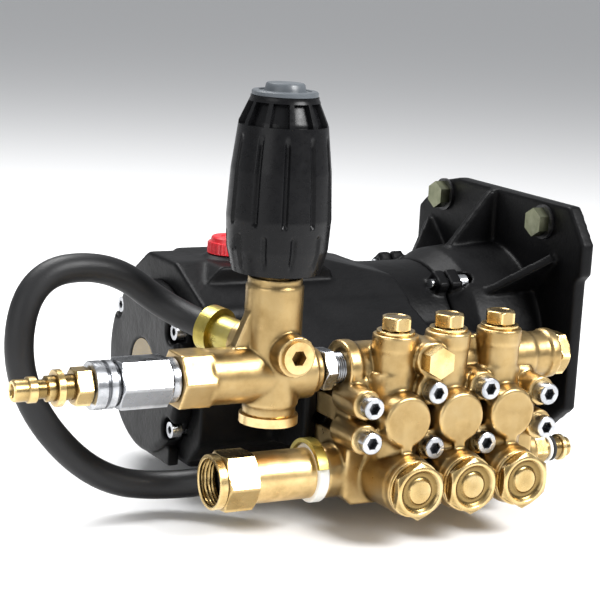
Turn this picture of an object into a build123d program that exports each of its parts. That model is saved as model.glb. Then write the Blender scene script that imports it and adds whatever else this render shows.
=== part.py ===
from build123d import *
import os
from math import acos, cos, degrees, pi, radians, sin, sqrt, tan

# Triplex plunger pump for a pressure washer, with a geared engine mount, an unloader valve
# and a bypass hose. The origin is on the engine shaft's axis, in the flange's mating face.
# +X points at the engine, -Y at the manifold's front, +Z up. Sizes are in millimetres.

# ---------------------------------------------------------------- driving dimensions
ENGINE_SHAFT_D = 25.4          # bore of the hollow pinion
KEY_W, KEY_DEPTH = 6.35, 3.3
FLANGE_PCD = 165.1
FLANGE_T = 9.0
BOLT_R, BOLT_SHANK_R = 4.76, 4.2   # 3/8 in engine bolts: thread, and rolled shank in the flange
BOLT_HOLE_R = 5.2

MODULE = 2.0
PINION_TEETH, RING_TEETH = 22, 56
CRANK_Z = -MODULE * (RING_TEETH - PINION_TEETH) / 2
BACKLASH = 0.35
RING_ADDENDUM = 0.7             # of the module, so that the ring clears the pinion's roots
GEAR_X0, GEAR_X1 = -44.0, -26.0

PITCH = 35.3                   # between plungers
MID_X = -131.5
CYLINDERS = (-1, 0, 1)
THROW = 4.0
ROD_LENGTH = 68.0
WRIST_R, WRIST_HALF = 3.5, 7.5
PHASES = (0.0, 120.0, 240.0)
PLUNGER_R = 10.0
CROSSHEAD_R, CROSSHEAD_BORE = 16.4, 14.0
RUN = 0.05                     # radial clearance of a running fit

CASE_X0, CASE_X1 = -247.0, -106.0
COVER_X, COVER_R = -259.0, 53.0
SIGHT_R = 17.0
NECK_R, NECK_END = 58.5, -66.0
NOSE_X0 = -200.0
FACE_Y = -104.0                # crankcase face that carries the manifold
CASE_TOP, CASE_BOTTOM = 33.0, -84.0
SHOULDER_X, SHOULDER_FALL = -150.0, 12.0   # where the top begins to fall toward the neck, in degrees
OIL_X, OIL_Y = -206.0, -8.0
PAD_ANGLES, PAD_R = (-35, 35, 90, 145, 215, 270), 61.5   # ears that join the crankcase to the bell
BELL_X = -52.0                 # where the bell stops flaring quickly
RIBS = ((0, 104), (-46, 104), (46, 104), (-80, 92), (80, 92))   # angle and reach of each bell rib

GALLERY_Y, DELIVERY_Z, SUCTION_Z = -127.0, -9.0, -69.5
SCREW_SEAT_Y = -157.0
SCREWS_IN, SCREWS_OUT = (17.65, 16.0), (59.0, 10.0)
TOWER_Y, TOWER_TOP = -143.0, 13.0
CHAMBER_END = -156.0
PASSAGE_Y = -152.0
FRONT_PORT_X, FRONT_PORT_Z = MID_X - PITCH / 2, -0.5
VALVE_LIFT = 2.0
SUCTION_SEAT_Y, DELIVERY_SEAT_Z = -140.0, -20.0

UNLOADER_X = -237.0
PLUG_X, PLUG_Z = -234.0, 5.0
INLET_END = -272.0
THREAD_START = -261.5          # inner end of the inlet nut's thread
HOSE_R, HOSE_BORE = 8.3, 4.8
PORT_REACH = 35.0              # from the unloader's axis to the hose's end
# centreline corners of the bypass hose and the radius of the arc at each inner corner
HOSE_POINTS = [
    (-256, -94.5, 9), (-269, -62, 13), (-305, -54, 42), (-356, -58, 38),
    (-363, -60, -24), (-319, -66, -81), (-263, -66, -92), (-240, -98, -77),
]
HOSE_RADII = [35, 50, 34, 75, 75, 34]


# ---------------------------------------------------------------- shape helpers
def axis_plane(axis, start, u, v):
    """Plane whose normal is +axis; u and v are the other two coordinates in x, y, z order."""
    if axis == "x":
        return Plane((start, u, v), x_dir=(0, 1, 0), z_dir=(1, 0, 0))
    if axis == "y":
        return Plane((u, start, v), x_dir=(1, 0, 0), z_dir=(0, 1, 0))
    return Plane((u, v, start), x_dir=(1, 0, 0), z_dir=(0, 0, 1))


def bar(axis, a, b, u, v, r):
    low, high = min(a, b), max(a, b)
    up = (Align.CENTER, Align.CENTER, Align.MIN)
    return axis_plane(axis, low, u, v).location * Cylinder(r, high - low, align=up)


def tube(axis, a, b, u, v, r_out, r_in):
    return bar(axis, a, b, u, v, r_out) - bar(axis, min(a, b) - 1, max(a, b) + 1, u, v, r_in)


def taper(axis, a, b, u, v, r_a, r_b):
    """Cone frustum from radius r_a at a to r_b at b, with a below b."""
    up = (Align.CENTER, Align.CENTER, Align.MIN)
    return axis_plane(axis, a, u, v).location * Cone(r_a, r_b, b - a, align=up)


def hexagon(axis, a, b, u, v, flats, turn=0.0):
    low, high = min(a, b), max(a, b)
    face = axis_plane(axis, low, u, v) * RegularPolygon(flats / 2, 6, major_radius=False, rotation=turn)
    return extrude(face, high - low, dir=axis_plane(axis, low, u, v).z_dir)


def block(x0, x1, y0, y1, z0, z1):
    size = (x1 - x0, y1 - y0, z1 - z0)
    return Pos((x0 + x1) / 2, (y0 + y1) / 2, (z0 + z1) / 2) * Box(*size)


def joined(pieces):
    pieces = list(pieces)
    total = pieces[0]
    for piece in pieces[1:]:
        total += piece
    return total


def cut(shape, tools):
    for tool in tools:
        shape -= tool
    return shape


def steps(axis, start, u, v, sections):
    """Coaxial cylinders one after another: each section is (radius, signed length)."""
    pieces, at = [], start
    for r, length in sections:
        pieces.append(bar(axis, at, at + length, u, v, r))
        at += length
    return joined(pieces)


def socket_screw(axis, seat, u, v, r, length, sign):
    """Cap screw with its head on the -sign side of the seat and its shank toward +sign."""
    head = bar(axis, seat, seat - sign * 2 * r, u, v, 1.62 * r)
    socket = hexagon(axis, seat - sign * 1.1 * r, seat - sign * (2 * r + 1), u, v, 1.5 * r)
    return head - socket + bar(axis, seat, seat + sign * length, u, v, r)


def group(pieces):
    return Compound(children=[solid for piece in pieces for solid in piece.solids()])


def cylinder_x(k):
    return MID_X + k * PITCH


# ---------------------------------------------------------------- gears
def involute_angle(r, base_r):
    a = acos(min(1.0, base_r / r))
    return tan(a) - a


def gear_outline(teeth, r_low, r_high, gap):
    """Closed outline of involute teeth between two radii; gap thins each tooth at the pitch line."""
    pitch_r = MODULE * teeth / 2
    base_r = pitch_r * cos(radians(20))
    half = pi / (2 * teeth) - gap / (2 * pitch_r) + involute_angle(pitch_r, base_r)
    r_start = max(r_low, base_r)
    radii = [r_low] if r_low < base_r else []
    radii += [r_start + (r_high - r_start) * i / 4 for i in range(5)]
    points = []
    for tooth in range(teeth):
        middle = pi / 2 + 2 * pi * tooth / teeth
        flank = [(r, half - involute_angle(max(r, base_r), base_r)) for r in radii]
        points += [(r * cos(middle - a), r * sin(middle - a)) for r, a in flank]
        points += [(r * cos(middle + a), r * sin(middle + a)) for r, a in reversed(flank)]
    return make_face(Polyline(*points, close=True))


def toothed(teeth, r_low, r_high, gap, x0, x1, z):
    plane = axis_plane("x", x0, 0, z)
    return extrude(plane * gear_outline(teeth, r_low, r_high, gap), x1 - x0, dir=(1, 0, 0))


def drive_pinion():
    pitch_r = MODULE * PINION_TEETH / 2
    teeth = toothed(PINION_TEETH, pitch_r - 1.25 * MODULE, pitch_r + MODULE, BACKLASH, GEAR_X0, GEAR_X1, 0)
    body = teeth + bar("x", GEAR_X1, -20, 0, 0, 20.5) + bar("x", -20, -1, 0, 0, 17.48)
    key_top = ENGINE_SHAFT_D / 2 + KEY_DEPTH
    keyway = block(GEAR_X0 - 1, 0, -KEY_W / 2, KEY_W / 2, 0, key_top)
    return cut(body, [bar("x", GEAR_X0 - 1, 0, 0, 0, ENGINE_SHAFT_D / 2), keyway])


def ring_gear():
    pitch_r = MODULE * RING_TEETH / 2
    x0, x1 = GEAR_X0 - 1, GEAR_X1 + 1
    rim = bar("x", x0 - 4, x1, 0, CRANK_Z, pitch_r + 5.5)
    tip_r, root_r = pitch_r - RING_ADDENDUM * MODULE, pitch_r + 1.25 * MODULE
    space = toothed(RING_TEETH, tip_r, root_r, 0, x0, x1 + 1, CRANK_Z)
    hub = bar("x", -64, x0 - 4, 0, CRANK_Z, 24)
    inside = bar("x", x0, x1 + 1, 0, CRANK_Z, tip_r)
    return cut(rim + hub, [space, inside, bar("x", -64, 0, 0, CRANK_Z, 14)])


# ---------------------------------------------------------------- crankcase and engine mount
def case_section():
    """Outline across the crankcase in (Y, Z)."""
    corners = [(-46, CASE_BOTTOM), (44, CASE_BOTTOM), (60, -66), (60, 2), (47, 18), (24, CASE_TOP),
               (-16, CASE_TOP), (-62, 12), (-62, -68)]
    return fillet(make_face(Polyline(*corners, close=True)).vertices(), 12)


def nose_section():
    """Outline of the plunger guide block in front of the crankcase, in (Y, Z)."""
    corners = [(-30, 25), (-62, 12), (FACE_Y, -4), (FACE_Y, -64), (-62, -70), (-30, -70)]
    return make_face(Polyline(*corners, close=True))


def crankcase():
    plane = axis_plane("x", CASE_X0, 0, 0)
    body = extrude(plane * case_section(), CASE_X1 - CASE_X0, dir=(1, 0, 0))
    body += extrude(axis_plane("x", NOSE_X0, 0, 0) * nose_section(), 92, dir=(1, 0, 0))
    body -= Pos(SHOULDER_X, 0, CASE_TOP) * Rot(0, SHOULDER_FALL, 0) * block(0, 60, -120, 80, 0, 50)
    front_block = block(-110, NECK_END, FACE_Y, -50, CRANK_Z - 29, CRANK_Z + 28)
    body += front_block + bar("x", -150, NECK_END, 0, CRANK_Z, NECK_R)
    body += joined(neck_pad(a, NECK_END - 9, NECK_END) for a in PAD_ANGLES)
    body += bar("z", CASE_TOP - 6, CASE_TOP + 3, OIL_X, OIL_Y, 16)
    body += joined(block(x - 7, x + 7, -44, 44, CASE_BOTTOM - 4, CASE_BOTTOM + 6) for x in (-238, -126))
    tools = [bar("x", CASE_X0 - 1, -84, 0, CRANK_Z, 46), bar("x", -85, -60, 0, CRANK_Z, 25),
             bar("x", -82, -60, 0, CRANK_Z, 31)]
    for k in CYLINDERS:
        x = cylinder_x(k)
        tools += [bar("y", -30, -92, x, CRANK_Z, CROSSHEAD_R + RUN),
                  bar("y", -90, FACE_Y - 1, x, CRANK_Z, 11),
                  bar("y", -96, FACE_Y - 1, x, CRANK_Z, 15)]
    tools += [bar("y", -84, FACE_Y - 1, x, z, 4.02) for x, z in screw_places()]
    tools += [bar("x", CASE_X0 - 1, CASE_X0 + 16, y, z, 3.02) for y, z in cover_screw_places()]
    tools += [bar("x", NECK_END - 14, NECK_END + 1, y, z, 3.02) for y, z in pad_places()]
    tools.append(bar("z", 5, CASE_TOP + 4, OIL_X, OIL_Y, 10.1))
    return cut(body, tools)


def around(angle, r):
    """Point at an angle from +Z toward +Y on a circle about the crank's axis."""
    return r * sin(radians(angle)), CRANK_Z + r * cos(radians(angle))


def pad_places():
    return [around(a, PAD_R) for a in PAD_ANGLES]


def neck_pad(angle, x0, x1):
    pad = block(x0, x1, -7, 7, NECK_R - 6, PAD_R + 6)
    return Pos(0, 0, CRANK_Z) * Rot(-angle, 0, 0) * pad


def screw_places():
    """The eight manifold screws: four between the plungers and two outside at each end."""
    x_in, z_in = SCREWS_IN
    x_out, z_out = SCREWS_OUT
    offsets = [(x, z) for x in (-x_in, x_in) for z in (-z_in, z_in)]
    offsets += [(x, z) for x in (-x_out, x_out) for z in (-z_out, z_out)]
    return [(MID_X + x, CRANK_Z + z) for x, z in offsets]


def cover_screw_places():
    return [(y, CRANK_Z + z) for y in (-40.4, 40.4) for z in (-30, 30)]


def side_cover():
    """Round cover with its screws in open pockets, and the hub that holds the crank's outer bearing."""
    seat = CASE_X0 - 4
    body = bar("x", CASE_X0, COVER_X + 2, 0, CRANK_Z, COVER_R)
    body += taper("x", COVER_X, COVER_X + 2, 0, CRANK_Z, COVER_R - 3, COVER_R)
    body += tube("x", CASE_X0, -196, 0, CRANK_Z, 38, 31)
    body += block(seat - 3, CASE_X0, -34, 16, CRANK_Z - COVER_R - 2, CRANK_Z - 44)
    tools = [bar("x", CASE_X0 - 8, -190, 0, CRANK_Z, 30),
             bar("x", COVER_X - 1, -190, 0, CRANK_Z, 14),
             bar("x", COVER_X - 1, COVER_X + 3, 0, CRANK_Z, SIGHT_R + 0.2),
             bar("x", -212, -190, 0, CRANK_Z, 31)]
    for y, z in cover_screw_places():
        tools += [bar("x", seat, COVER_X - 1, y, z, 7.5), bar("x", seat - 1, CASE_X0 + 1, y, z, 3.3)]
    return cut(body, tools)


def sight_glass():
    lens = bar("x", COVER_X + 6, COVER_X + 3, 0, CRANK_Z, 13.8)
    return lens + bar("x", COVER_X + 3, COVER_X + 0.6, 0, CRANK_Z, SIGHT_R)


def flange_outline():
    corners = [(-84, 72), (44, 72), (66, 67), (92, 46), (92, -56), (76, -72),
               (-76, -72), (-96, -56), (-96, 27), (-101, 31), (-101, 50)]
    return make_face(Polyline(*corners, close=True))


def gear_housing():
    """Engine flange with the ribbed bell that encloses the gears."""
    plate = extrude(axis_plane("x", -FLANGE_T, 0, 0) * flange_outline(), FLANGE_T, dir=(1, 0, 0))
    bell = taper("x", NECK_END, BELL_X, 0, CRANK_Z, NECK_R, 66)
    bell += taper("x", BELL_X, -FLANGE_T, 0, CRANK_Z, 66, 70)
    ribs = [Pos(0, 0, CRANK_Z) * Rot(-a, 0, 0) * rib(reach) for a, reach in RIBS]
    pads = [neck_pad(a, NECK_END, NECK_END + 9) for a in PAD_ANGLES]
    body = joined([plate, bell] + ribs + pads)
    body -= bar("x", BELL_X + 1, -FLANGE_T - 2, 0, CRANK_Z, 62.3)
    body -= bar("x", NECK_END - 1, BELL_X + 2, 0, CRANK_Z, 50)
    inside = bar("x", -23, -FLANGE_T, 0, CRANK_Z, 66)
    low_bolts = [(y, z) for y, z in bolt_places() if z < 0]
    bosses = [bar("x", -20, -FLANGE_T, 0, 0, 36)]
    bosses += [bar("x", -23, -FLANGE_T, y, z, 15) for y, z in low_bolts]
    body += inside & joined(bosses)
    body = cut(body, [bar("x", -20.5, -FLANGE_T, y, z, 12) for y, z in low_bolts])
    holes = [bar("x", -30, 1, y, z, BOLT_HOLE_R) for y, z in bolt_places()]
    holes += [bar("x", -12, 1, 16, 52, 4), bar("x", -30, -2, 0, 0, 31), bar("x", -3, 1, 0, 0, 20)]
    holes += [bar("x", NECK_END - 1, NECK_END + 30, y, z, 3.3) for y, z in pad_places()]
    holes += [bar("x", NECK_END + 9, NECK_END + 18, y, z, 5.6) for y, z in pad_places()]
    return cut(body, holes)


def rib(reach):
    """Gusset from the bell's wall up to the flange plate, standing along +Z."""
    outline = [(-46, 64), (-FLANGE_T + 1, 64), (-FLANGE_T + 1, reach), (-FLANGE_T - 4, reach)]
    face = Plane.XZ * make_face(Polyline(*outline, close=True))
    return extrude(face, 3, both=True)


def bolt_places():
    d = FLANGE_PCD / 2 * sin(radians(45))
    return [(y, z) for y in (-d, d) for z in (-d, d)]


def engine_bolts():
    def bolt(y, z):
        head = hexagon("x", -FLANGE_T - 2, -FLANGE_T - 9, y, z, 16, 90)
        return head + bar("x", -FLANGE_T - 2, 0, y, z, BOLT_SHANK_R) + bar("x", 0, 16, y, z, BOLT_R)
    return group(bolt(y, z) for y, z in bolt_places())


def ball_bearing(x0, x1, z, bore, outside):
    """One solid ring: the sealed bearing, with its grooved shields."""
    ring = tube("x", x0, x1, 0, z, outside, bore)
    middle = (bore + outside) / 2
    sides = ((x0 - 1, x0 + 0.8), (x1 - 0.8, x1 + 1))
    return cut(ring, [tube("x", a, b, 0, z, middle + 4.5, middle - 4.5) for a, b in sides])


def engine_bolt_washers():
    return group(tube("x", -FLANGE_T - 2, -FLANGE_T, y, z, 11, BOLT_HOLE_R) for y, z in bolt_places())


def case_screws():
    cover = [socket_screw("x", CASE_X0 - 4, y, z, 3, 20, 1) for y, z in cover_screw_places()]
    return group(cover + [socket_screw("x", NECK_END + 9, y, z, 3, 20, -1) for y, z in pad_places()])


def ball_bearings():
    crank = [ball_bearing(-212, -196, CRANK_Z, 15, 31), ball_bearing(-82, -66, CRANK_Z, 15, 31)]
    return group(crank + [ball_bearing(-20, -3, 0, 17.5, 31)])


# ---------------------------------------------------------------- crank, rods, plungers
def eccentric_centre(i):
    a = radians(PHASES[i])
    return -THROW * cos(a), CRANK_Z + THROW * sin(a)


def pin_y(i):
    """Where each wrist pin lies on its plunger's axis at rest."""
    y, z = eccentric_centre(i)
    return y - sqrt(ROD_LENGTH ** 2 - (z - CRANK_Z) ** 2)


def crankshaft():
    radii_lengths = [(15, 16), (18, 12.5), (15.4, 97.5), (18, 4), (15, 18), (13.98, 17)]
    shaft = steps("x", -212, 0, CRANK_Z, radii_lengths)
    for i, k in enumerate(CYLINDERS):
        y, z = eccentric_centre(i)
        shaft += bar("x", cylinder_x(k) - 10, cylinder_x(k) + 10, y, z, 20)
    return shaft


def connecting_rod(i):
    x = cylinder_x(CYLINDERS[i])
    y, z = eccentric_centre(i)
    small = (pin_y(i), CRANK_Z)
    rise = (z - CRANK_Z) / ROD_LENGTH
    big = tube("x", x - 9, x + 9, y, z, 26, 20 + RUN)
    eye = bar("x", x - 3.5, x + 3.5, *small, WRIST_R + 2.1)
    shank = block(x - 3.5, x + 3.5, small[0] + 3, y - 23, -4.2, 4.2)
    middle_y = (small[0] + y) / 2
    tilt = Pos(0, middle_y, (CRANK_Z + z) / 2) * Rot(degrees(rise), 0, 0) * Pos(0, -middle_y, 0)
    arm = cut(tilt * shank, [bar("x", x - 20, x + 20, y, z, 22)])
    return cut(big + eye + arm, [bar("x", x - 20, x + 20, *small, WRIST_R + 0.02)])


def crosshead(i):
    """Cup that slides in the crankcase, with the stud that carries the plunger."""
    x, y = cylinder_x(CYLINDERS[i]), pin_y(i)
    body = bar("y", y + 16, y - 19, x, CRANK_Z, CROSSHEAD_R)
    body += bar("y", y - 19, y - 26, x, CRANK_Z, 9.0) + bar("y", y - 26, y - 60, x, CRANK_Z, 6)
    hollow = bar("y", y + 17, y - 15.2, x, CRANK_Z, CROSSHEAD_BORE)
    pin_bore = bar("x", x - 20, x + 20, y, CRANK_Z, 4.02)
    return cut(body, [hollow, pin_bore, bar("y", y - 48, y - 61, x, CRANK_Z, 2.6)])


def plunger(i):
    """Ceramic sleeve with its domed clamping nose."""
    x, y = cylinder_x(CYLINDERS[i]), pin_y(i)
    sleeve = bar("y", y - 26, y - 76, x, CRANK_Z, PLUNGER_R)
    sleeve = chamfer(sleeve.faces().sort_by(Axis.Y)[0].edges(), 2)
    return cut(sleeve, [bar("y", y - 25, y - 60, x, CRANK_Z, 6)])


# ---------------------------------------------------------------- manifold and valves
def manifold():
    body = block(-194, -66, -143, FACE_Y, SUCTION_Z - 17, DELIVERY_Z - 4)
    body = chamfer(body.edges().filter_by(Axis.Y), 5)
    body += bar("x", -193, -66, GALLERY_Y, DELIVERY_Z, 14.5)
    body += bar("x", -194, -186, GALLERY_Y, DELIVERY_Z, 16)
    body += steps("x", -66, GALLERY_Y, DELIVERY_Z, [(13.5, 12), (15, 6)])
    body += bar("x", -204, -190, GALLERY_Y, SUCTION_Z, 15.5) + bar("x", -70, -58, GALLERY_Y, SUCTION_Z, 13)
    body += bar("y", -130, -157, FRONT_PORT_X, FRONT_PORT_Z, 10.4)
    body += block(-119, -108, -139, -124, DELIVERY_Z, DELIVERY_Z + 17)
    body += joined(bar("y", -130, SCREW_SEAT_Y, x, z, 8.8) for x, z in screw_places())
    body += joined(cylinder_front(cylinder_x(k)) for k in CYLINDERS)
    tools = [bar("x", -205, -78, GALLERY_Y, SUCTION_Z, 9), bar("x", -80, -50, GALLERY_Y, SUCTION_Z, 6.02),
             bar("x", -195, -47, GALLERY_Y, DELIVERY_Z, 8), bar("x", -200, -184, GALLERY_Y, DELIVERY_Z, 9.02),
             bar("x", -60, -47, GALLERY_Y, DELIVERY_Z, 10.02),
             bar("y", GALLERY_Y, -158, FRONT_PORT_X, FRONT_PORT_Z, 5.02)]
    tools += [bar("y", FACE_Y + 1, SCREW_SEAT_Y - 1, x, z, 4.3) for x, z in screw_places()]
    for k in CYLINDERS:
        x = cylinder_x(k)
        tools += [bar("y", FACE_Y + 1, -132, x, CRANK_Z, 15),
                  bar("y", -131, CHAMBER_END, x, CRANK_Z, 11.5),
                  bar("z", CRANK_Z, TOWER_TOP + 1, x, TOWER_Y, 6),
                  bar("z", -24, TOWER_TOP + 1, x, TOWER_Y, 8.52),
                  bar("z", SUCTION_Z, CRANK_Z, x, PASSAGE_Y, 5),
                  bar("y", GALLERY_Y, -140, x, SUCTION_Z, 8),
                  bar("y", -139, -176, x, SUCTION_Z, 12.02)]
    return cut(body, tools)


def cylinder_front(x):
    """Front of one cylinder: column, round boss, tower for the delivery valve, suction collar."""
    column = bar("z", SUCTION_Z, DELIVERY_Z, x, -140, 15)
    boss = steps("y", -140, x, CRANK_Z, [(16, -18), (14.3, -4)])
    tower = taper("z", -24, 4, x, TOWER_Y, 11.2, 12.6) + bar("z", 4, TOWER_TOP, x, TOWER_Y, 13.2)
    collar = steps("y", -140, x, SUCTION_Z, [(17.3, -28), (16.4, -5)])
    web = block(x - 3.5, x + 3.5, -164, -140, SUCTION_Z, CRANK_Z)
    return column + boss + tower + collar + web


def suction_plug(x):
    plug = bar("y", -160, -173, x, SUCTION_Z, 12) + bar("y", -173, -175, x, SUCTION_Z, 16.2)
    plug += hexagon("y", -175, -181, x, SUCTION_Z, 29.5, 30)
    plug -= bar("y", -178, -182, x, SUCTION_Z, 11.5)
    plug += bar("y", -176, -179.5, x, SUCTION_Z, 7)
    return plug - bar("y", -159, -167, x, SUCTION_Z, 7.5)


def delivery_plug(x):
    plug = bar("z", 2, TOWER_TOP, x, TOWER_Y, 8.5) + bar("z", TOWER_TOP, TOWER_TOP + 2, x, TOWER_Y, 11)
    return plug + hexagon("z", TOWER_TOP + 2, TOWER_TOP + 10, x, TOWER_Y, 16)


def valve_seats():
    xs = [cylinder_x(k) for k in CYLINDERS]
    seats = [tube("y", SUCTION_SEAT_Y + 1, SUCTION_SEAT_Y - 3, x, SUCTION_Z, 12, 6) for x in xs]
    return group(seats + [tube("z", DELIVERY_SEAT_Z - 4, DELIVERY_SEAT_Z, x, TOWER_Y, 8.5, 5) for x in xs])


def valve_disc(axis, seat, u, v, r, sign):
    """Poppet that lies on its seat, with a short guide on the spring side."""
    disc = bar(axis, seat + sign * 0.02, seat + sign * 2.2, u, v, r)
    return disc + bar(axis, seat + sign * 2.2, seat + sign * 5, u, v, 2.2)


def coil(radius, wire, height, turns):
    path = Helix(pitch=height / turns, height=height, radius=radius)
    profile = Plane(origin=path @ 0, z_dir=path % 0) * Circle(wire)
    return sweep(profile, path=path)


def valve_springs():
    """Springs drawn at the length they have with the valves fully open."""
    xs = [cylinder_x(k) for k in CYLINDERS]
    front = [axis_plane("y", -166, x, SUCTION_Z).location * coil(4.6, 0.6, 16.5, 4) for x in xs]
    bottom = DELIVERY_SEAT_Z + 2.2 + VALVE_LIFT + 1
    return group(front + [Pos(x, TOWER_Y, bottom) * coil(4.2, 0.6, 1.2 - bottom, 4) for x in xs])


def thermal_relief_valve():
    body = steps("x", -68, GALLERY_Y, SUCTION_Z, [(6, 10), (8, 1)])
    body += hexagon("x", -58, -48, GALLERY_Y, SUCTION_Z, 17)
    body += steps("x", -48, GALLERY_Y, SUCTION_Z, [(6.8, 12), (8, 3), (6, 4)])
    return body - bar("x", -36, -28, GALLERY_Y, SUCTION_Z, 3)


def gallery_end_plug():
    plug = bar("x", -58, -48, GALLERY_Y, DELIVERY_Z, 10)
    return plug + hexagon("x", -48, -40, GALLERY_Y, DELIVERY_Z, 24)


def front_port_plug():
    plug = bar("y", -146, -157, FRONT_PORT_X, FRONT_PORT_Z, 5)
    return plug + hexagon("y", -157, -166, FRONT_PORT_X, FRONT_PORT_Z, 16, 30)


# ---------------------------------------------------------------- unloader and outlet
def unloader_body():
    x, y = UNLOADER_X, GALLERY_Y
    port = hose_end(HOSE_POINTS[0], HOSE_POINTS[1]) * Pos(0, 0, -PORT_REACH)
    up = (Align.CENTER, Align.CENTER, Align.MIN)
    body = bar("z", -26, 41, x, y, 16.2) + bar("z", 38, 46, x, y, 15.2)
    body += bar("x", -278, -214, y, DELIVERY_Z, 15.8) + bar("x", -222, -209, y, DELIVERY_Z, 13)
    body += hexagon("x", -296, -277, y, DELIVERY_Z, 30)
    body += bar("y", y, -152, PLUG_X, PLUG_Z, 11.5) + port * Cylinder(11.5, 17, align=up)
    body += gusset() + bar("z", -32, -26, x, y, 15)
    tools = [bar("z", -33, 47, x, y, 9), bar("x", -297, UNLOADER_X, y, DELIVERY_Z, 8),
             bar("x", UNLOADER_X, -208, y, DELIVERY_Z, 7.02), bar("x", -297, -282, y, DELIVERY_Z, 9.02),
             bar("y", y, -153, PLUG_X, PLUG_Z, 7.02), port * Cylinder(6.52, 18, align=up)]
    return cut(body, tools)


def gusset():
    """Web in the corner between the upright body and the outlet tube."""
    outline = [(-278, DELIVERY_Z), (-262, DELIVERY_Z + 15), (-251, 32), (-240, 32), (-240, DELIVERY_Z)]
    return extrude(Plane.XZ.offset(-GALLERY_Y) * make_face(Polyline(*outline, close=True)), 3.5, both=True)


def unloader_bottom_plug():
    plug = bar("z", -20, -32, UNLOADER_X, GALLERY_Y, 9) + bar("z", -32, -37, UNLOADER_X, GALLERY_Y, 16.6)
    return plug - hexagon("z", -38, -34, UNLOADER_X, GALLERY_Y, 10)


def unloader_front_plug():
    plug = bar("y", -140, -152, PLUG_X, PLUG_Z, 7) + bar("y", -152, -154, PLUG_X, PLUG_Z, 9)
    return plug - hexagon("y", -155, -147, PLUG_X, PLUG_Z, 8)


def unloader_spring():
    return Pos(UNLOADER_X, GALLERY_Y, 66.7) * coil(8, 1.5, 38, 6)


def unloader_piston():
    x, y = UNLOADER_X, GALLERY_Y
    return steps("z", -14, x, y, [(5, 3), (3, 21), (8.95, 14), (3.5, 38), (10, 3)])


def spring_seat():
    return bar("z", 107, 113, UNLOADER_X, GALLERY_Y, 14) + bar("z", 98, 107, UNLOADER_X, GALLERY_Y, 5)


def knob():
    """Hollow fluted grip: widest a third of the way up, with a ring of windows near the top."""
    x, y = UNLOADER_X, GALLERY_Y
    outside = [(16.5, 49), (24.5, 49), (28, 62), (29, 79), (27.6, 105), (24.5, 131), (18.7, 144), (18.7, 145)]
    outline = outside + [(0, 145), (0, 128), (15, 128), (15, 60)]
    body = Pos(x, y, 0) * revolve(Plane.XZ * make_face(Polyline(*outline, close=True)), Axis.Z)
    count = 12
    tools = []
    for i in range(count):
        turn = Pos(x, y, 0) * Rot(0, 0, 360 * i / count)
        tools.append(turn * Pos(31.4, 0, 84) * Rot(0, -4, 0) * Cylinder(4.2, 50))
    return cut(body, tools)


def knob_cap():
    x, y = UNLOADER_X, GALLERY_Y
    return steps("z", 145, x, y, [(18.2, 3), (10.5, 3)])


def connecting_nipple():
    y, z = GALLERY_Y, DELIVERY_Z
    nipple = steps("x", -221, y, z, [(7, 12), (9, 1.5)]) + hexagon("x", -207.5, -199.6, y, z, 22)
    nipple += bar("x", -199.6, -186, y, z, 9)
    return nipple - bar("x", -222, -185, y, z, 4.5)


def outlet_swivel():
    y, z = GALLERY_Y, DELIVERY_Z
    body = bar("x", -283.5, -296.3, y, z, 8.97) + bar("x", -296.3, -301, y, z, 12.5)
    body += hexagon("x", -301, -331, y, z, 26) + steps("x", -331, y, z, [(11.5, -2), (13.2, -12)])
    return cut(body, [bar("x", -283, -346, y, z, 5), bar("x", -335, -346, y, z, 8.02)])


def quick_connect_plug():
    y, z = GALLERY_Y, DELIVERY_Z
    body = bar("x", -336, -345, y, z, 8) + hexagon("x", -345, -355, y, z, 19)
    body += steps("x", -355, y, z, [(7, -6), (10, -4), (7, -5), (5.2, -5), (7, -5), (6, -8)])
    return body - bar("x", -335, -389, y, z, 3.5)


# ---------------------------------------------------------------- inlet and bypass
def hose_end(start, toward):
    """Location at one end of the hose, with +Z along the hose."""
    return Plane(origin=start, z_dir=Vector(*toward) - Vector(*start)).location


def on(location, a, b, r):
    """Cylinder on a location's Z axis, from a to b."""
    return location * Pos(0, 0, a) * Cylinder(r, b - a, align=(Align.CENTER, Align.CENTER, Align.MIN))


def barb(location, length, r_core):
    """Hose tail along +Z of the location, with two ridges."""
    up = (Align.CENTER, Align.CENTER, Align.MIN)
    tail = on(location, 0, length, r_core)
    for i in range(2):
        tail += location * Pos(0, 0, length - 7 * (i + 1)) * Cone(r_core + 0.7, r_core, 5, align=up)
    return tail


def bypass_barb():
    face = hose_end(HOSE_POINTS[0], HOSE_POINTS[1])
    body = barb(face, 15, 3.9) + on(face, -18, -0.2, 10.2) + on(face, -28, -18, 6.5)
    return body - on(face, -29, 16, 2.6)


def hose_collars():
    """Wide rings that the push-on hose butts against, one at each end."""
    ends = ((HOSE_POINTS[0], HOSE_POINTS[1]), (HOSE_POINTS[-1], HOSE_POINTS[-2]))
    places = [hose_end(*end) for end in ends]
    return group(on(place, -3.2, 5, 13.6) - on(place, -4, 0, 10.25) - on(place, -1, 6, HOSE_R + 0.05)
                 for place in places)


def inlet_body():
    y, z = GALLERY_Y, SUCTION_Z
    body = steps("x", -198, y, z, [(8.98, -6), (13, -7), (14.5, -36), (11.4, -9)])
    body += bar("x", -252, -257.5, y, z, 12.6)
    face = hose_end(HOSE_POINTS[-1], HOSE_POINTS[-2])
    body += barb(face, 15, 3.9) + on(face, -17, -0.2, 10.2)
    return body - bar("x", -197, -259, y, z, 8) - on(face, -24, 16, 2.6)


def inlet_rings():
    """White sealing ring and wide locking ring at the manifold end of the inlet body."""
    y, z = GALLERY_Y, SUCTION_Z
    return group([tube("x", -208, -204, y, z, 15.6, 13), tube("x", -211, -208, y, z, 19.5, 13)])


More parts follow.
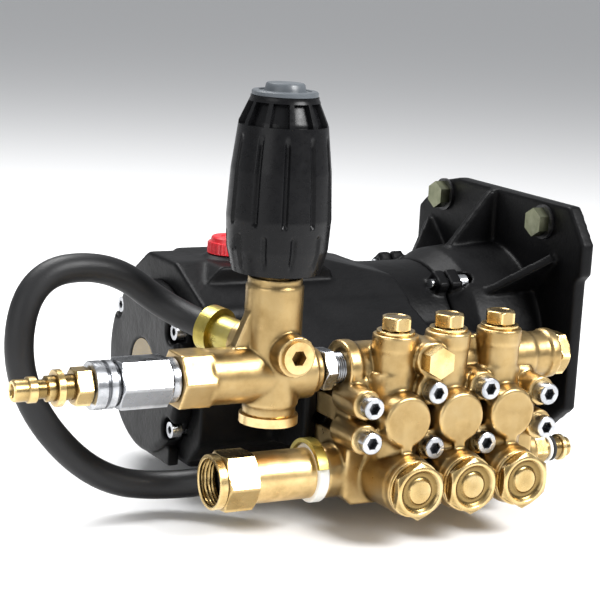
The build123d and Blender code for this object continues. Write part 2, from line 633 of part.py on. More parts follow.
def inlet_swivel_nut():
    y, z = GALLERY_Y, SUCTION_Z
    nut = hexagon("x", -247, -267, y, z, 31) + bar("x", -267, INLET_END, y, z, 15.6)
    tools = [bar("x", -246, -252, y, z, 11.4 + RUN), bar("x", -251.7, THREAD_START, y, z, 13.6),
             bar("x", THREAD_START, INLET_END - 1, y, z, 13.2)]
    return cut(nut, tools)


def inlet_screen():
    y, z = GALLERY_Y, SUCTION_Z
    return bar("x", -257.5, -260.5, y, z, 12.9) + bar("x", -252, -257.5, y, z, 7.5)


def hose_path():
    return FilletPolyline(*HOSE_POINTS, radius=HOSE_RADII)


def bypass_hose():
    path = hose_path()
    profile = Plane(origin=path @ 0, z_dir=path % 0) * (Circle(HOSE_R) - Circle(HOSE_BORE))
    hose = sweep(profile, path=path)
    length, section = path.length, pi * (HOSE_R ** 2 - HOSE_BORE ** 2)
    print(f"hose length {length:.1f}, volume {hose.volume:.0f}, section x length {section * length:.0f}")
    arcs = [e for e in path.edges() if e.geom_type == GeomType.CIRCLE]
    print("hose radii", sorted({round(e.radius, 1) for e in arcs}))
    return hose


def oil_cap():
    seat = CASE_TOP + 3
    cap = steps("z", seat, OIL_X, OIL_Y, [(14.5, 7), (12.5, 3.5)])
    cap += bar("z", seat, CASE_TOP - 12, OIL_X, OIL_Y, 10)
    return cap + bar("z", CASE_TOP - 12, 14, OIL_X, OIL_Y, 2)


# ---------------------------------------------------------------- nodes
def all_nodes():
    xs = [cylinder_x(k) for k in CYLINDERS]
    nodes = {
        "crankcase": crankcase(),
        "side_cover": side_cover(),
        "sight_glass": sight_glass(),
        "gear_housing": gear_housing(),
        "case_screws": case_screws(),
        "engine_bolts": engine_bolts(),
        "engine_bolt_washers": engine_bolt_washers(),
        "ball_bearings": ball_bearings(),
        "drive_pinion": drive_pinion(),
        "ring_gear": ring_gear(),
        "crankshaft": crankshaft(),
        "plunger_seals": group(tube("y", a, b, x, CRANK_Z, 15, PLUNGER_R + RUN) for x in xs
                               for a, b in ((-96, -103), (-105, -111), (-121, -129))),
        "packing_retainers": group(tube("y", a, b, x, CRANK_Z, 15, PLUNGER_R + 0.1) for x in xs
                                   for a, b in ((-111, -121), (-129, -132))),
        "manifold": manifold(),
        "manifold_screws": group(socket_screw("y", SCREW_SEAT_Y, x, z, 4, 68, 1)
                                 for x, z in screw_places()),
        "suction_plugs": group(suction_plug(x) for x in xs),
        "delivery_plugs": group(delivery_plug(x) for x in xs),
        "valve_seats": valve_seats(),
        "valve_springs": valve_springs(),
        "gallery_end_plug": gallery_end_plug(),
        "front_port_plug": front_port_plug(),
        "thermal_relief_valve": thermal_relief_valve(),
        "connecting_nipple": connecting_nipple(),
        "unloader_body": unloader_body(),
        "unloader_bonnet": tube("z", 40, 58, UNLOADER_X, GALLERY_Y, 9, 3.5 + RUN),
        "unloader_spring": unloader_spring(),
        "unloader_piston": unloader_piston(),
        "spring_seat": spring_seat(),
        "unloader_bottom_plug": unloader_bottom_plug(),
        "unloader_front_plug": unloader_front_plug(),
        "knob": knob(),
        "knob_cap": knob_cap(),
        "outlet_swivel": outlet_swivel(),
        "quick_connect_plug": quick_connect_plug(),
        "inlet_body": inlet_body(),
        "inlet_swivel_nut": inlet_swivel_nut(),
        "inlet_screen": inlet_screen(),
        "bypass_barb": bypass_barb(),
        "hose_collars": hose_collars(),
        "inlet_rings": inlet_rings(),
        "bypass_hose": bypass_hose(),
        "oil_cap": oil_cap(),
    }
    for i, x in enumerate(xs):
        nodes[f"connecting_rod_{i + 1}"] = connecting_rod(i)
        nodes[f"wrist_pin_{i + 1}"] = bar("x", x - WRIST_HALF, x + WRIST_HALF, pin_y(i), CRANK_Z, WRIST_R)
        nodes[f"crosshead_{i + 1}"] = crosshead(i)
        nodes[f"plunger_{i + 1}"] = plunger(i)
        nodes[f"suction_valve_{i + 1}"] = valve_disc("y", SUCTION_SEAT_Y - 3, x, SUCTION_Z, 8, -1)
        nodes[f"delivery_valve_{i + 1}"] = valve_disc("z", DELIVERY_SEAT_Z, x, TOWER_Y, 7, 1)
    return nodes


os.makedirs("parts", exist_ok=True)
for node_name, node_shape in all_nodes().items():
    export_step(node_shape, f"parts/{node_name}.step")
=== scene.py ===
from math import cos, pi, radians, sin

import bmesh
import bpy
from mathutils import Matrix, Vector


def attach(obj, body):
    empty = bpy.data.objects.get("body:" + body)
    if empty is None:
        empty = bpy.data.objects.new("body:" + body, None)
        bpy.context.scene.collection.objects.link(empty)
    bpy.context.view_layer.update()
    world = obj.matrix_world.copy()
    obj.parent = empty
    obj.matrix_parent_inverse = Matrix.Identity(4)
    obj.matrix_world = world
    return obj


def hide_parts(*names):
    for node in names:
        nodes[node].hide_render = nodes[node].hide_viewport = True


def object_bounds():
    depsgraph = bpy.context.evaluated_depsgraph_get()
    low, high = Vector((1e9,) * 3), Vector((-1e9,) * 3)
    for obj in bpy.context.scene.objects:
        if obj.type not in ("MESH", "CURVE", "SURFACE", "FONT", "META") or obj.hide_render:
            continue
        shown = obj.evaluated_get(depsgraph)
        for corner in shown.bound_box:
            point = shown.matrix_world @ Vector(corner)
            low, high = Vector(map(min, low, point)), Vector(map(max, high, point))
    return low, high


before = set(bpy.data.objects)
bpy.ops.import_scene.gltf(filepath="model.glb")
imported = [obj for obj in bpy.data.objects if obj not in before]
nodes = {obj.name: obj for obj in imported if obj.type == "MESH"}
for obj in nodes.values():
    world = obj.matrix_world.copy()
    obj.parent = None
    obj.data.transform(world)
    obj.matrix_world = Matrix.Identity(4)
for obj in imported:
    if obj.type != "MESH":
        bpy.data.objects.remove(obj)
cad_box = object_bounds()
MM = 0.001


# ---------------------------------------------------------------- camera
def make_camera():
    azimuth, elevation, roll = radians(-28.74), radians(11.47), radians(3.21)
    back = Vector((sin(azimuth) * cos(elevation), -cos(azimuth) * cos(elevation), sin(elevation)))
    right = Vector((cos(azimuth), sin(azimuth), 0))
    up = back.cross(right)
    x_axis = right * cos(roll) + up * sin(roll)
    y_axis = up * cos(roll) - right * sin(roll)
    data = bpy.data.cameras.new("camera")
    data.lens, data.sensor_width = 111.56, 36.0
    data.clip_start, data.clip_end = 0.05, 100
    camera = bpy.data.objects.new("camera", data)
    bpy.context.scene.collection.objects.link(camera)
    turn = Matrix((x_axis, y_axis, back)).transposed().to_4x4()
    place = Vector((-205.99, -100.0, 25.17)) * MM + back * 1.0659
    camera.matrix_world = Matrix.Translation(place) @ turn
    bpy.context.scene.camera = camera


make_camera()


# ---------------------------------------------------------------- materials
class Graph:
    """A material's node tree, with short names for the nodes that the finishes use."""

    def __init__(self, name, **sockets):
        self.material = bpy.data.materials.new(name)
        self.material.use_nodes = True
        self.tree = self.material.node_tree
        self.shader = self.tree.nodes["Principled BSDF"]
        for key, value in sockets.items():
            self.shader.inputs[key.replace("_", " ")].default_value = value
        self.place = self.node("ShaderNodeTexCoord").outputs["Object"]

    def node(self, kind, inputs=None, **settings):
        node = self.tree.nodes.new(kind)
        for key, value in settings.items():
            setattr(node, key, value)
        for key, value in (inputs or {}).items():
            if isinstance(value, bpy.types.NodeSocket):
                self.tree.links.new(value, node.inputs[key])
            else:
                node.inputs[key].default_value = value
        return node

    def noise(self, scale, detail=4.0, rough=0.55):
        settings = {"Vector": self.place, "Scale": scale, "Detail": detail, "Roughness": rough}
        return self.node("ShaderNodeTexNoise", settings).outputs["Fac"]

    def ramp(self, value, stops):
        node = self.node("ShaderNodeValToRGB", {"Fac": value})
        elements = node.color_ramp.elements
        while len(elements) < len(stops):
            elements.new(0.5)
        for element, (at, colour) in zip(elements, stops):
            element.position, element.color = at, (*colour, 1)
        return node.outputs["Color"]

    def range(self, value, low, high, to_low, to_high):
        settings = {"Value": value, "From Min": low, "From Max": high, "To Min": to_low, "To Max": to_high}
        return self.node("ShaderNodeMapRange", settings).outputs["Result"]

    def mix(self, factor, a, b, kind="MIX"):
        node = self.node("ShaderNodeMix", data_type="RGBA", blend_type=kind)
        for socket, value in ((node.inputs[0], factor), (node.inputs[6], a), (node.inputs[7], b)):
            if isinstance(value, bpy.types.NodeSocket):
                self.tree.links.new(value, socket)
            else:
                socket.default_value = value
        return node.outputs[2]

    def wear_and_shade(self):
        """Near 1 on convex edges and near 0 in recesses; drives the edge wear on paint and the painted
        shade in the recesses of bare metal.
        """
        return self.node("ShaderNodeNewGeometry").outputs["Pointiness"]

    def set(self, **links):
        for key, value in links.items():
            self.tree.links.new(value, self.shader.inputs[key.replace("_", " ")])

    def bump(self, *heights):
        """heights are (value, distance in metres)."""
        normal = None
        for value, distance in heights:
            settings = {"Height": value, "Distance": distance, "Strength": 1.0}
            if normal is not None:
                settings["Normal"] = normal
            normal = self.node("ShaderNodeBump", settings).outputs["Normal"]
        self.set(Normal=normal)
        return self.material


def painted(name, base, worn, rough, grain, **sockets):
    g = Graph(name, **sockets)
    cloud = g.noise(38, 5)
    tint = g.ramp(cloud, [(0.3, base), (0.75, tuple(c * 1.7 for c in base))])
    edge = g.range(g.wear_and_shade(), 0.53, 0.6, 0.0, 0.55)
    scuffs = g.range(g.noise(260, 6, 0.7), 0.52, 0.7, 0.0, 1.0)
    amount = g.node("ShaderNodeMath", {0: edge, 1: scuffs}, operation="MULTIPLY").outputs[0]
    g.set(Base_Color=g.mix(amount, tint, (*worn, 1)),
          Roughness=g.range(cloud, 0.3, 0.7, rough[0], rough[1]))
    return g.bump((g.noise(grain, 3), 0.00012), (g.noise(grain * 0.2, 3), 0.0003))


def metal(name, dark, base, light, rough, cast=0.0):
    """Bare metal: painted shade darkening the recesses, lighter convex edges, and a cast or machined skin.
    """
    g = Graph(name, Metallic=1.0)
    cloud = g.noise(55, 6, 0.6)
    tint = g.ramp(cloud, [(0.28, dark), (0.5, base), (0.78, light)])
    edge = g.range(g.wear_and_shade(), 0.47, 0.56, 0.0, 1.0)
    # painted shade: the colour falls to 0.42 of the dark tone where the surface is concave or flat, full
    # tint on convex edges
    shaded_recess = g.mix(edge, (*(c * 0.42 for c in dark), 1), tint)
    spots = g.range(g.noise(420, 3, 0.7), 0.6, 0.75, 0.0, 0.35)
    g.set(Base_Color=g.mix(spots, shaded_recess, (*dark, 1)),
          Roughness=g.range(g.noise(130, 5), 0.3, 0.7, rough[0], rough[1]))
    heights = [(g.noise(900, 3, 0.6), 0.00004)]
    if cast:
        heights = [(g.noise(1500, 3, 0.7), cast * 0.4), (g.noise(320, 4, 0.6), cast)]
    return g.bump(*heights)


def rubber(name, base, rough, grain, depth):
    g = Graph(name, Specular_IOR_Level=0.4)
    cloud = g.noise(24, 4)
    dust = g.range(g.noise(160, 5, 0.7), 0.5, 0.8, 0.0, 0.35)
    tint = g.ramp(cloud, [(0.3, base), (0.8, tuple(c * 1.8 for c in base))])
    g.set(Base_Color=g.mix(dust, tint, tuple(c * 2.6 for c in base) + (1,)),
          Roughness=g.range(cloud, 0.3, 0.7, rough[0], rough[1]))
    return g.bump((g.noise(grain, 3), depth))


def plastic(name, base, rough, **sockets):
    g = Graph(name, **sockets)
    cloud = g.noise(70, 4)
    tint = g.ramp(cloud, [(0.3, base), (0.8, tuple(min(1, c * 1.35) for c in base))])
    g.set(Base_Color=tint, Roughness=g.range(g.noise(240, 5, 0.7), 0.35, 0.7, rough[0], rough[1]))
    return g.bump((g.noise(700, 2), 0.00003))


BLACK = (0.0025, 0.0025, 0.0028)

FINISHES = {
    "painted_black": painted("painted_black", BLACK, (0.05, 0.05, 0.055), (0.36, 0.5), 620,
                             Specular_IOR_Level=0.12),
    "cover_black": painted("cover_black", BLACK, (0.05, 0.05, 0.055), (0.3, 0.44), 760,
                           Specular_IOR_Level=0.16),
    "black_washer": painted("black_washer", (0.007, 0.007, 0.008), (0.10, 0.10, 0.10), (0.34, 0.5), 900),
    "seal": rubber("seal", (0.012, 0.012, 0.012), (0.45, 0.65), 800, 0.00008),
    "hose": rubber("hose", (0.0045, 0.0045, 0.005), (0.38, 0.55), 900, 0.0001),
    "ceramic": plastic("ceramic", (0.80, 0.78, 0.70), (0.10, 0.2)),
    "white_seal": plastic("white_seal", (0.72, 0.72, 0.68), (0.35, 0.5)),
    "grip": plastic("grip", (0.0035, 0.0035, 0.004), (0.24, 0.38), Specular_IOR_Level=0.2),
    "grey_cap": plastic("grey_cap", (0.075, 0.085, 0.095), (0.3, 0.5)),
    "red_cap": plastic("red_cap", (0.55, 0.012, 0.02), (0.22, 0.36)),
    "amber": plastic("amber", (0.17, 0.115, 0.03), (0.12, 0.2)),
}

# each metal's dark, usual and light colour, and its range of roughness
METALS = {
    "turned_brass": ((0.54, 0.36, 0.13), (0.78, 0.57, 0.26), (0.92, 0.74, 0.42), (0.18, 0.34)),
    "zinc": ((0.28, 0.29, 0.31), (0.50, 0.51, 0.53), (0.68, 0.70, 0.72), (0.2, 0.38)),
    "yellow_zinc": ((0.36, 0.27, 0.06), (0.56, 0.46, 0.12), (0.66, 0.58, 0.24), (0.24, 0.42)),
    "olive_zinc": ((0.13, 0.14, 0.08), (0.24, 0.25, 0.16), (0.36, 0.37, 0.27), (0.28, 0.46)),
    "steel": ((0.36, 0.37, 0.38), (0.56, 0.57, 0.58), (0.74, 0.75, 0.76), (0.16, 0.34)),
    "aluminium": ((0.50, 0.51, 0.52), (0.72, 0.73, 0.74), (0.86, 0.87, 0.88), (0.24, 0.42)),
}
FINISHES.update({name: metal(name, *look) for name, look in METALS.items()})
FINISHES["brass"] = metal("brass", (0.50, 0.33, 0.13), (0.78, 0.56, 0.26), (0.90, 0.70, 0.38),
                          (0.27, 0.42), cast=0.00005)


def paint(obj, finish):
    obj.data.materials.clear()
    obj.data.materials.append(FINISHES[finish])
    return obj


# ---------------------------------------------------------------- mesh helpers
SHARP_DEGREES = 35


def spot(axis, along, u, v):
    """Point from its place along an axis and its other two coordinates in x, y, z order."""
    if axis == "x":
        return along, u, v
    if axis == "y":
        return u, along, v
    return u, v, along


def hex_radius(flats, turn=0.0):
    return lambda angle: flats / 2 / cos((angle - radians(turn)) % (pi / 3) - pi / 6)


def hex_rings(a, b, flats, turn=0.0):
    """Rings of a hexagon from a to b, with its corners chamfered at both ends."""
    across, sign = hex_radius(flats, turn), 1 if b > a else -1
    start, steps = 0.475 * flats, 6
    slope = 3 ** 0.5
    depth = (flats / slope - start) / 1.73

    def ring(place, h):
        return place, lambda angle: min(across(angle), start + 1.73 * h)

    heights = [depth * i / steps for i in range(steps + 1)]
    return [ring(a + sign * h, h) for h in heights] + [ring(b - sign * h, h) for h in reversed(heights)]


def thread_rings(a, b, r, pitch, depth):
    """Rings of a helical thread from a to b; depth is negative for an internal one."""
    sign, n = (1 if b > a else -1), max(2, int(abs(b - a) / pitch * 8))

    def ring(place, fade):
        def radius(angle):
            turn = (place / pitch - angle / (2 * pi)) % 1
            return r - depth * fade * abs(2 * turn - 1)
        return place, radius

    return [ring(a + sign * abs(b - a) * i / n, min(1, 4 * i / n, 4 * (n - i) / n)) for i in range(n + 1)]


class Shape:
    """Collects closed forms in millimetres, and makes one object of them."""

    def __init__(self):
        self.verts, self.faces = [], []

    def lathe(self, axis, u, v, rings, count=72, hollow=False):
        """Rings are (place along the axis, radius or function of the angle).

        A hollow form's last ring joins its first.
        """
        first = len(self.verts)
        for along, radius in rings:
            for i in range(count):
                angle = 2 * pi * i / count
                r = radius(angle) if callable(radius) else radius
                self.verts.append(spot(axis, along, u + r * cos(angle), v + r * sin(angle)))
        spans = len(rings) if hollow else len(rings) - 1
        for k in range(spans):
            low, high = first + k * count, first + (k + 1) % len(rings) * count
            for i in range(count):
                j = (i + 1) % count
                self.faces.append((low + i, low + j, high + j, high + i))
        if not hollow:
            for k, (along, _) in ((0, rings[0]), (len(rings) - 1, rings[-1])):
                middle = len(self.verts)
                self.verts.append(spot(axis, along, u, v))
                ring = first + k * count
                self.faces += [(ring + i, ring + (i + 1) % count, middle) for i in range(count)]
        return self

    def prism(self, outline, axis, a, b):
        """Straight solid with an outline given in the other two coordinates."""
        first, n = len(self.verts), len(outline)
        for along in (a, b):
            self.verts += [spot(axis, along, u, v) for u, v in outline]
        self.faces += [tuple(first + i for i in range(n)), tuple(first + n + i for i in reversed(range(n)))]
        for i in range(n):
            j = (i + 1) % n
            self.faces.append((first + i, first + j, first + n + j, first + n + i))
        return self

    def mesh(self, name):
        mesh = bpy.data.meshes.new(name)
        mesh.from_pydata([Vector(p) * MM for p in self.verts], [], self.faces)
        mesh.update()
        return mesh

    def make(self, name, finish, body, slot, stands_for=(), bevel=0.22):
        obj = bpy.data.objects.new(name, self.mesh(name))
        bpy.context.scene.collection.objects.link(obj)
        tidy_normals(obj.data)
        if bevel:
            cut_edges = obj.modifiers.new("bevel", "BEVEL")
            cut_edges.width, cut_edges.segments = bevel * MM, 2
            cut_edges.limit_method, cut_edges.angle_limit = "ANGLE", radians(SHARP_DEGREES)
        return finished(obj, finish, body, stands_for)


def tidy_normals(mesh):
    work = bmesh.new()
    work.from_mesh(mesh)
    bmesh.ops.recalc_face_normals(work, faces=work.faces)
    work.to_mesh(mesh)
    work.free()
    mesh.shade_smooth()
    mesh.set_sharp_from_angle(angle=radians(SHARP_DEGREES))


def finished(obj, finish, body, stands_for=()):
    paint(obj, finish)
    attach(obj, body)
    if stands_for:
        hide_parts(*stands_for)
    return obj


def forged(name, node, voxel, rounds, finish, extra=None):
    """A casting: the CAD solid and any extra form melted together, with rounded edges."""
    mesh = nodes[node].data.copy()
    if extra:
        work = bmesh.new()
        work.from_mesh(mesh)
        work.from_mesh(extra.mesh(name + "_extra"))
        work.to_mesh(mesh)
        work.free()
    obj = bpy.data.objects.new(name, mesh)
    bpy.context.scene.collection.objects.link(obj)
    remesh = obj.modifiers.new("remesh", "REMESH")
    remesh.mode, remesh.voxel_size, remesh.adaptivity = "VOXEL", voxel * MM, 0
    smooth = obj.modifiers.new("smooth", "SMOOTH")
    smooth.factor, smooth.iterations = 0.5, rounds
    shape = bpy.data.meshes.new_from_object(obj.evaluated_get(bpy.context.evaluated_depsgraph_get()))
    obj.modifiers.clear()
    obj.data = shape
    shape.shade_smooth()
    return finished(obj, finish, "pump", [node])


# ---------------------------------------------------------------- bypass hose
HOSE_R = 0.0083
HOSE_POINTS = [
    (-0.256, -0.0945, 0.009), (-0.269, -0.062, 0.013), (-0.305, -0.054, 0.042), (-0.356, -0.058, 0.038),
    (-0.363, -0.060, -0.024), (-0.319, -0.066, -0.081), (-0.263, -0.066, -0.092), (-0.240, -0.098, -0.077),
]


def make_hose():
    curve = bpy.data.curves.new("hose", "CURVE")
    curve.dimensions = "3D"
    curve.bevel_depth, curve.bevel_resolution, curve.resolution_u = HOSE_R, 10, 24
    curve.use_fill_caps = True
    spline = curve.splines.new("NURBS")
    spline.points.add(len(HOSE_POINTS) - 1)
    for point, place in zip(spline.points, HOSE_POINTS):
        point.co = (*place, 1)
    spline.order_u = 3
    spline.use_endpoint_u = True
    hose = bpy.data.objects.new("hose", curve)
    bpy.context.scene.collection.objects.link(hose)
    finished(hose, "hose", "pump", ["bypass_hose"])


make_hose()


# ---------------------------------------------------------------- main sizes in mm, as in the CAD model
MID_X, PITCH = -131.5, 35.3
CYLINDERS = [MID_X + k * PITCH for k in (-1, 0, 1)]
CRANK_Z, GALLERY_Y, DELIVERY_Z, SUCTION_Z = -34.0, -127.0, -9.0, -69.5
TOWER_Y, SCREW_SEAT_Y = -143.0, -157.0
UNLOADER_X = -237.0
OIL_X, OIL_Y, OIL_SEAT = -206.0, -8.0, 36.0
KNOB_LINES = 11


# ---------------------------------------------------------------- castings
def make_castings():
    forged("manifold_casting", "manifold", 0.9, 9, "brass", columns())
    forged("unloader_casting", "unloader_body", 0.8, 6, "brass")
    forged("crankcase_casting", "crankcase", 1.4, 7, "painted_black", plateau())
    forged("bell_casting", "gear_housing", 1.3, 5, "painted_black")
    forged("cover_casting", "side_cover", 0.9, 4, "cover_black")


def columns():
    """Rounded necks above and below each round boss, and the boss's thicker face."""
    lower = [(SUCTION_Z, 14), (CRANK_Z - 22, 13.5), (CRANK_Z - 12, 14.5), (CRANK_Z, 15)]
    upper = [(CRANK_Z, 14), (CRANK_Z + 14, 12.5), (-6, 11.4), (2, 11.8)]
    face = [(-145, 16), (-158, 16), (-159, 15.7), (-163, 14.8), (-163.8, 13.9)]
    shape = Shape()
    for x in CYLINDERS:
        shape.lathe("z", x, -147.5, lower, 48)
        shape.lathe("z", x, TOWER_Y, upper, 48)
        shape.lathe("y", x, CRANK_Z, face, 64)
    return shape


def plateau():
    """Low raised panel along the top of the crankcase."""
    outline = [(-236, 24), (-226, 33.5), (-158, 33.5), (-150, 28), (-150, 20), (-236, 20)]
    return Shape().prism(outline, "y", -38, 30)


# ---------------------------------------------------------------- knob
def between(profile, along):
    for (a, r_a), (b, r_b) in zip(profile, profile[1:]):
        if a <= along <= b:
            return r_a + (r_b - r_a) * (along - a) / (b - a)
    return profile[-1][1]


def near(angle, first, width):
    """1 on each of the knob's evenly spaced lines, falling to 0 at width, in degrees."""
    pitch = 360 / KNOB_LINES
    off = (angle * 180 / pi - first + pitch / 2) % pitch - pitch / 2
    return max(0.0, 1 - (off / width) ** 2)


def knob_ring(place):
    """One level of the grip: grooves low and high, and a band of windows near the top."""
    profile = [(49, 24.5), (62, 28), (79, 29), (105, 27.6), (131, 24.5), (144, 18.7), (145, 18.7)]
    r = between(profile, place)
    if 52 < place < 72:
        depth = 1.5 * min(1, (place - 52) / 5, (72 - place) / 2)
        return place, lambda angle: r - depth * near(angle, -99.7, 3.6)
    if 76 < place < 125:
        depth = 1.7 * min(1, (place - 76) / 2, (125 - place) / 5)
        return place, lambda angle: r - depth * near(angle, -111.2, 3.6)
    if 129.5 < place < 142:
        return place, lambda angle: r - (0 if near(angle, -106.1, 4) else 3.2)
    return place, r


def make_knob():
    places = [49, 49.5, *range(50, 130), 129.5, 129.55, *range(130, 142), 141.95, *range(142, 146)]
    rings = [(128, 15), (60, 15), (50, 16)] + [knob_ring(place) for place in places]
    grip = Shape().lathe("z", UNLOADER_X, GALLERY_Y, rings, 36 * KNOB_LINES)
    grip.make("knob_grip", "grip", "unloader_knob", "grip", ["knob"], 0)
    lid = [(145, 17.6), (145.3, 18.2), (147.3, 18.2), (147.9, 17.6), (148, 14.6), (147.3, 14.2),
           (147.3, 11.6), (148.6, 11.2), (151.2, 10.7), (152, 9.9), (152.2, 7.5), (152.2, 2)]
    cap = Shape().lathe("z", UNLOADER_X, GALLERY_Y, lid, 96)
    cap.make("knob_lid", "grey_cap", "unloader_knob", "grey_cap", ["knob_cap"], 0)


# ---------------------------------------------------------------- screws and hexagons
def make_screws():
    """Heads of the manifold's cap screws, knurled, with a chamfered socket."""
    r, head, ridges, seat = 4, 1.62 * 4, 36, SCREW_SEAT_Y
    socket = hex_radius(1.5 * r)

    def knurl(angle):
        return head - 0.03 * r * abs(cos(angle * ridges / 2))

    rings = [(seat, head * 0.97), (seat - 0.15 * r, knurl), (seat - 1.7 * r, knurl),
             (seat - 1.9 * r, head * 0.96), (seat - 2 * r, head * 0.88),
             (seat - 2 * r, lambda angle: socket(angle) * 1.08), (seat - 1.92 * r, socket),
             (seat - 0.95 * r, socket)]
    shape = Shape()
    for across, above in ((17.65, 16), (59, 10)):
        for x in (MID_X - across, MID_X + across):
            for z in (CRANK_Z - above, CRANK_Z + above):
                shape.lathe("y", x, z, rings)
    shape.make("manifold_screw_heads", "zinc", "pump", "zinc", ["manifold_screws"], 0)


def make_hex_plugs():
    dished = [(-181, 12.6), (-180.3, 11.8), (-179.4, 11.2), (-178.9, 10.2), (-178.8, 9),
              (-179, 7.9), (-179.6, 7.1), (-180.2, 6.7), (-180.4, 6), (-180.4, 2)]
    low = [(-160, 12), (-173, 12), (-173, 15.8), (-173.4, 16.2), (-174.6, 16.2), (-175, 15.8),
           (-175, 14.9), *hex_rings(-175.2, -181, 29.5, 30), *dished]
    high = [(4, 8.5), (13, 8.5), (13, 10.8), (13.3, 11), (14.7, 11), (15, 10.7), (15, 8.2),
            *hex_rings(15.1, 23, 16), (23, 6.4), (22.7, 6), (22.7, 2)]
    side = [(-56, 10), (-48, 10), (-48, 11.4), *hex_rings(-47.8, -40, 24), (-40, 9), (-40.5, 8.4),
            (-40.5, 2)]
    suction, delivery = Shape(), Shape()
    for x in CYLINDERS:
        suction.lathe("y", x, SUCTION_Z, low)
        delivery.lathe("z", x, TOWER_Y, high)
    end = Shape().lathe("x", GALLERY_Y, DELIVERY_Z, side)
    suction.make("suction_plug_hexagons", "turned_brass", "pump", "brass", ["suction_plugs"], 0)
    delivery.make("delivery_plug_hexagons", "turned_brass", "pump", "brass", ["delivery_plugs"], 0)
    end.make("gallery_plug_hexagon", "turned_brass", "pump", "brass", ["gallery_end_plug"], 0)


# ---------------------------------------------------------------- fittings
def make_outlet():
    swivel = [(-284, 8.9), (-296.4, 8.9), (-296.4, 12.1), (-296.8, 12.5), (-300.6, 12.5), (-301, 12.2),
              *hex_rings(-301.1, -331, 26), (-331, 11.5), (-332.8, 11.5), (-333, 12.9),
              (-333.3, 13.2), (-336.6, 13.2), (-337.2, 12.4), (-338.4, 12.4), (-339, 13.2),
              (-344.6, 13.2), (-345, 12.8), (-345, 8.3), (-336, 8.3)]
    nose = [(-336, 8), (-345.2, 8), (-345.2, 8.9), *hex_rings(-345.3, -355, 19), (-355, 7),
            (-360.8, 7), (-361, 9.6), (-361.4, 10), (-364.6, 10), (-365, 9.6), (-365.2, 7),
            (-369.4, 7), (-370.4, 5.2), (-374.6, 5.2), (-375.6, 7), (-379.6, 7), (-380.4, 6),
            (-387.2, 6), (-388, 5.3), (-388, 3.9), (-387.4, 3.5), (-370, 3.5)]
    nipple = [(-221, 6.6), (-220.4, 7), (-209.2, 7), (-209, 9), (-207.5, 9),
              *hex_rings(-207.4, -199.7, 22), (-199.6, 8.6),
              *thread_rings(-199.5, -190, 9, 1.4, 0.5), (-186, 8)]
    for name, finish, body, slot, node, rings in (
            ("outlet_hexagon", "zinc", "outlet_coupling", "zinc", "outlet_swivel", swivel),
            ("quick_connect_nose", "turned_brass", "outlet_coupling", "brass", "quick_connect_plug", nose),
            ("nipple_hexagon", "zinc", "pump", "zinc", "connecting_nipple", nipple)):
        Shape().lathe("x", GALLERY_Y, DELIVERY_Z, rings).make(name, finish, body, slot, [node], 0)


def make_inlet():
    y, z = GALLERY_Y, SUCTION_Z
    nut = [*hex_rings(-247, -267, 31), (-267.1, 15.2), (-267.3, 15.6), (-271.5, 15.6), (-272, 15.1),
           (-272, 14.2), *thread_rings(-271.6, -262, 13.25, 2.2, -0.85), (-261.4, 13.6),
           (-252, 13.6), (-251.9, 11.5), (-247, 11.5)]
    swivel = Shape().lathe("x", y, z, nut, 96, hollow=True)
    swivel.make("inlet_nut", "turned_brass", "inlet_nut", "brass", ["inlet_swivel_nut"], 0)
    washer = [(-252, 7.5), (-257.4, 7.5), (-257.5, 12.5), (-257.9, 12.9), (-260.1, 12.9),
              (-260.5, 12.5), (-260.5, 9.4), (-260.1, 9), (-258.6, 9), (-258.2, 6), (-258, 2)]
    Shape().lathe("x", y, z, washer).make("inlet_washer", "seal", "pump", "screen", ["inlet_screen"], 0)


def make_inlet_rings():
    """White sealing ring with the yellow clip that locks it from above."""
    y, z = GALLERY_Y, SUCTION_Z
    ring = [(-211, 13.2), (-211, 16.2), (-210.2, 17.2), (-205, 17.2), (-204.2, 16.4), (-204.2, 13.2)]
    Shape().lathe("x", y, z, ring, 96, hollow=True).make(
        "inlet_sealing_ring", "white_seal", "pump", "yellow_zinc", ["inlet_rings"], 0.2)
    turns = [radians(20 + 7 * i) for i in range(21)]
    path = [(20, a) for a in turns] + [(17.3, a) for a in reversed(turns)]
    clip = Shape().prism([(y + r * cos(a), z + r * sin(a)) for r, a in path], "x", -212.5, -206)
    clip.make("inlet_locking_clip", "yellow_zinc", "pump", "yellow_zinc")


def make_relief_valve():
    y, z = GALLERY_Y, SUCTION_Z
    rings = [(-66, 6), (-58.4, 6), (-58.3, 8), *hex_rings(-58.2, -48, 17), (-47.9, 6.3),
             (-47.6, 6.8), (-36.4, 6.8), (-36, 7.6), (-35.6, 8), (-33.4, 8), (-33, 7.6),
             (-32.9, 6), (-29.4, 6), (-29, 5.6), (-29, 3.3), (-32, 3)]
    body = Shape().lathe("x", y, z, rings)
    body.make("relief_valve_body", "turned_brass", "pump", "brass", ["thermal_relief_valve"], 0)
    seals = (("relief_seal_white", -44.2, "white_seal"), ("relief_seal_black", -41.6, "seal"))
    for name, at, finish in seals:
        half_round = [(at + 1.2 * cos(a), 6.9 + sin(a)) for a in (pi * i / 8 for i in range(9))]
        Shape().lathe("x", y, z, half_round).make(name, finish, "pump", "seal", (), 0)


def make_oil_cap():
    def ridged(angle):
        return 14.5 - 0.5 * abs(cos(angle * 15))

    heights = [(-14, 9.8), (0, 9.8), (0.05, 14.2), (0.4, 14.5), (0.8, ridged), (6.2, ridged), (7, 13.9),
               (7, 12.9), (7.2, 12.6), (9.6, 12.2), (10.4, 11.4), (10.4, 6.5), (9.8, 6), (9.8, 2)]
    rings = [(OIL_SEAT + h, r) for h, r in heights]
    cap = Shape().lathe("z", OIL_X, OIL_Y, rings, 120)
    cap.make("oil_cap_grip", "red_cap", "filler_plug", "red_cap", ["oil_cap"], 0)


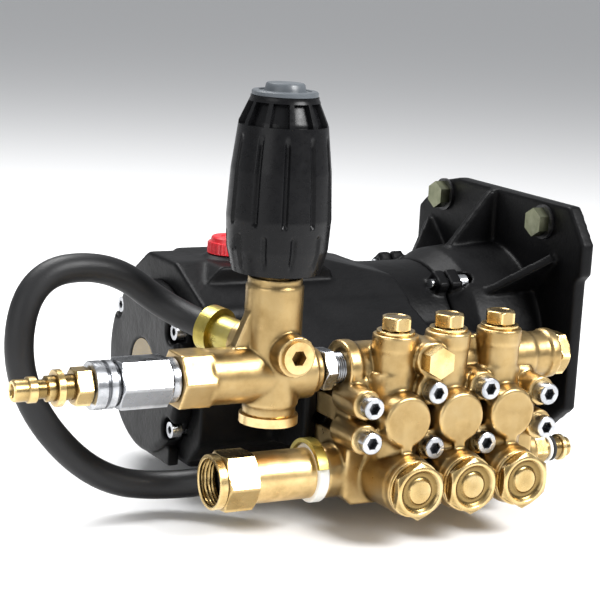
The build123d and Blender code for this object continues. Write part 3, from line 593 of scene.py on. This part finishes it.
# ---------------------------------------------------------------- nodes that keep the CAD shape
# width in mm of the eased edge
EASED = {
    "engine_bolts": 0.5, "engine_bolt_washers": 0.3, "front_port_plug": 0.5,
    "unloader_bottom_plug": 0.5, "unloader_front_plug": 0.4, "unloader_bonnet": 0.4,
    "inlet_body": 0.5, "bypass_barb": 0.3, "hose_collars": 0.5, "sight_glass": 0.6,
    "case_screws": 0.25,
}
NODE_FINISH = {
    "brass": ["unloader_bottom_plug", "unloader_front_plug", "inlet_body"],
    "turned_brass": ["front_port_plug", "unloader_bonnet", "packing_retainers"],
    "yellow_zinc": ["bypass_barb", "hose_collars"],
    "zinc": ["case_screws", "unloader_piston"],
    "olive_zinc": ["engine_bolts"],
    "black_washer": ["engine_bolt_washers"],
    "ceramic": ["plunger_1", "plunger_2", "plunger_3"],
    "seal": ["plunger_seals"],
    "amber": ["sight_glass"],
    "aluminium": ["connecting_rod_1", "connecting_rod_2", "connecting_rod_3",
                  "crosshead_1", "crosshead_2", "crosshead_3"],
}


def ease(obj, width):
    bevel = obj.modifiers.new("eased", "BEVEL")
    bevel.width, bevel.segments = width * MM, 2
    bevel.limit_method, bevel.angle_limit = "ANGLE", radians(40)
    bevel.use_clamp_overlap = True


def finish_nodes():
    """Every node that no piece replaced: the listed finish, or else steel."""
    finish_of = {node: finish for finish, names in NODE_FINISH.items() for node in names}
    for name, obj in nodes.items():
        if not obj.hide_render:
            paint(obj, finish_of.get(name, "steel"))
            if name in EASED:
                ease(obj, EASED[name])


make_castings()
make_knob()
make_screws()
make_hex_plugs()
make_outlet()
make_inlet()
make_inlet_rings()
make_relief_valve()
make_oil_cap()
finish_nodes()


# ---------------------------------------------------------------- floor and light
def make_floor():
    mesh = bpy.data.meshes.new("floor")
    level = cad_box[0].z - 0.0005
    corners = [(-14, -6, level), (14, -6, level), (14, 40, level), (-14, 40, level)]
    mesh.from_pydata(corners, [], [(0, 1, 2, 3)])
    floor = bpy.data.objects.new("floor", mesh)
    bpy.context.scene.collection.objects.link(floor)
    g = Graph("floor", Base_Color=(0.93, 0.93, 0.93, 1), Roughness=0.85)
    floor.data.materials.append(g.material)


def area_light(name, place, target, size, power):
    data = bpy.data.lights.new(name, "AREA")
    data.shape, data.size, data.energy = "DISK", size, power
    light = bpy.data.objects.new(name, data)
    bpy.context.scene.collection.objects.link(light)
    light.location = place
    light.rotation_mode = "QUATERNION"
    light.rotation_quaternion = (Vector(target) - Vector(place)).to_track_quat("-Z", "Y")


def make_light():
    centre = (cad_box[0] + cad_box[1]) / 2
    area_light("key", (0.55, -1.3, 1.25), centre, 0.8, 46)
    area_light("top", (-0.35, 0.55, 1.35), centre, 1.0, 26)
    area_light("fill", (-1.7, -0.7, 0.6), centre, 1.2, 7)
    world = bpy.data.worlds.new("world")
    world.use_nodes = True
    world.node_tree.nodes["Background"].inputs["Color"].default_value = (0.95, 0.97, 1.0, 1)
    world.node_tree.nodes["Background"].inputs["Strength"].default_value = 0.4
    bpy.context.scene.world = world
    bpy.context.scene.view_settings.view_transform = "Standard"


make_floor()
make_light()
